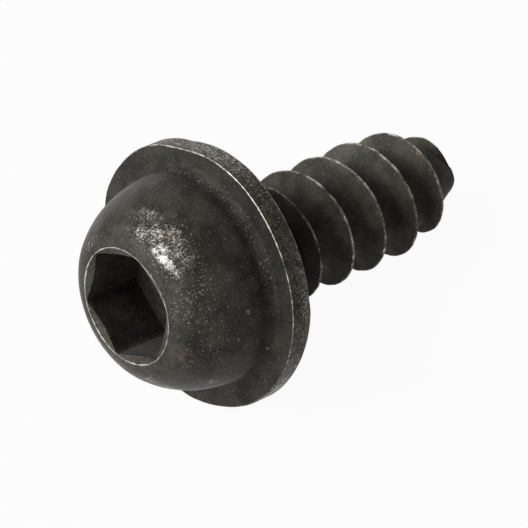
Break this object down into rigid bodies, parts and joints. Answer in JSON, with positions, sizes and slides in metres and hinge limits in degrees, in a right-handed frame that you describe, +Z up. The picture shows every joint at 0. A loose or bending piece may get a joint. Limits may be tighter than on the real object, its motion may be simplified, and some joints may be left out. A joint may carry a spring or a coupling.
{
  "type": "flanged thread-forming screw",
  "caption": "Blackened steel thread-forming screw for plastics, with a domed flange head, a hexagon socket and a coarse thread that tapers to a blunt tip.",
  "frame": {"origin": "on the floor under the middle of the lying screw", "axes": "+X along the lying screw from its head to its tip, +Z up from the floor it rests on"},
  "size_m": [0.0172, 0.0108, 0.0105],
  "materials": {
    "blackened_steel": "blackened and oiled, satin, rubbed bright on edges and on one side of the dome"
  },
  "bodies": {
    "root": {"screw": "blackened_steel"}
  },
  "joints": []
}
